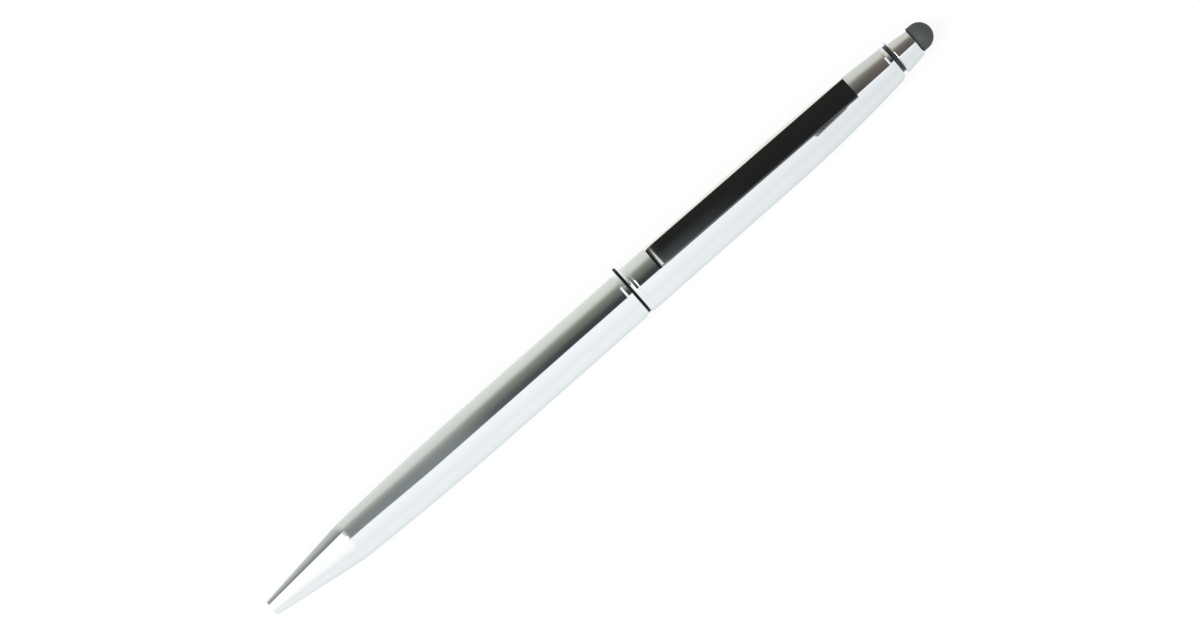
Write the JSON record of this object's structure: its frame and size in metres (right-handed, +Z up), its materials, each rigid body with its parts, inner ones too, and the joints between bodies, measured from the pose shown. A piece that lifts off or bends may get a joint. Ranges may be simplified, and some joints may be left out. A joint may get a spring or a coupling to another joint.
{
  "type": "stylus pen",
  "caption": "Slim twist-action metal ball pen with a pocket clip and a rubber touch-screen dome on its top end; the halves twist to move the refill.",
  "frame": {"origin": "on the surface the pen lies on, under the middle of its bounding box", "axes": "+X along the pen from the writing nose to the touch dome, +Z up through the clip, +Y across the pen"},
  "size_m": [0.133, 0.0092, 0.0112],
  "materials": {
    "chrome": "polished chrome plating",
    "saddle_steel": "bright plated steel",
    "clip_lacquer": "black lacquer on sheet metal",
    "black_plastic": "moulded black acetal",
    "dome_rubber": "satin conductive rubber",
    "brass": "turned brass",
    "acetal": "natural moulded acetal",
    "steel": "bright steel",
    "carrier_plastic": "moulded acetal",
    "adapter_plastic": "moulded plastic",
    "refill_metal": "drawn metal tube",
    "nickel_silver": "turned nickel silver",
    "ink": "oil-based ink",
    "follower_grease": "clear grease"
  },
  "bodies": {
    "upper": {"upper_barrel": "chrome", "center_ring": "chrome", "cam_sleeve": "acetal", "clip_saddle": "saddle_steel", "end_plug": "brass", "neck_ring": "black_plastic", "stylus_holder": "chrome", "stylus_dome": "dome_rubber"},
    "clip": {"clip_arm": "clip_lacquer"},
    "core": {"coupling_ferrule": "black_plastic", "guide_tube": "brass", "retaining_ring": "steel"},
    "lower": {"lower_barrel": "chrome"},
    "refill": {"carrier": "carrier_plastic", "drive_pin": "steel", "refill_adapter": "adapter_plastic", "refill_tube": "refill_metal", "refill_ink": "ink", "ink_follower": "follower_grease", "refill_tip": "nickel_silver"},
    "ball": {"refill_ball": "steel"}
  },
  "joints": [
    {"name": "twist", "type": "hinge", "parent": "upper", "child": "core", "pos_m": [0.00646, 0, 0.0046], "axis": [1, 0, 0], "range_deg": [0, 180]},
    {"name": "refill_feed", "type": "slide", "parent": "core", "child": "refill", "axis": [-1, 0, 0], "range_m": [0, 0.0045]},
    {"name": "clip_flex", "type": "hinge", "parent": "upper", "child": "clip", "pos_m": [0.04886, 0, 0.0097], "axis": [0, 1, 0], "range_deg": [0, 3], "stiffness_Nm_per_rad": 2},
    {"name": "barrel_pull", "type": "slide", "parent": "core", "child": "lower", "axis": [-1, 0, 0], "range_m": [0, 0.08]},
    {"name": "ball_roll", "type": "hinge", "parent": "refill", "child": "ball", "pos_m": [-0.06446, 0, 0.0046], "axis": [0, 1, 0], "continuous": true}
  ],
  "couplings": [
    {"joint": "twist", "follows": "refill_feed", "rad_per_m": 698.13}
  ]
}
